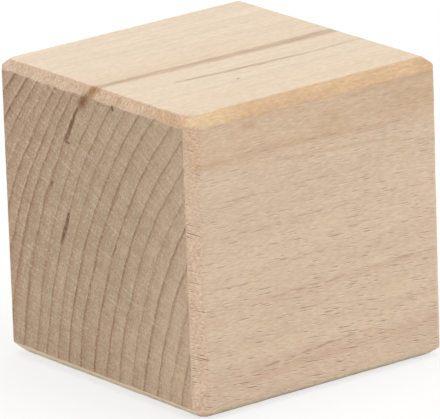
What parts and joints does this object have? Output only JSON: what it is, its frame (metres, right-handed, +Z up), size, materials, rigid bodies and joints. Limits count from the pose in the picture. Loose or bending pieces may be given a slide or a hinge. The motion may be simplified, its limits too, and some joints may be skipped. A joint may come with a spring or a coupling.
{
  "type": "wooden cube",
  "caption": "Solid beech cube with chamfered edges, eased arrises and rubbed-down corners, used as a spacer, riser, counter or building block.",
  "frame": {"origin": "centre of the base face", "axes": "+Z up, +X along the grain, so that -X and +X are the end-grain faces; -Y is the long-grain face towards the viewer"},
  "size_m": [0.05, 0.05, 0.05],
  "materials": {
    "beech": "sanded, unfinished"
  },
  "bodies": {
    "root": {"wooden_cube": "beech"}
  },
  "joints": []
}
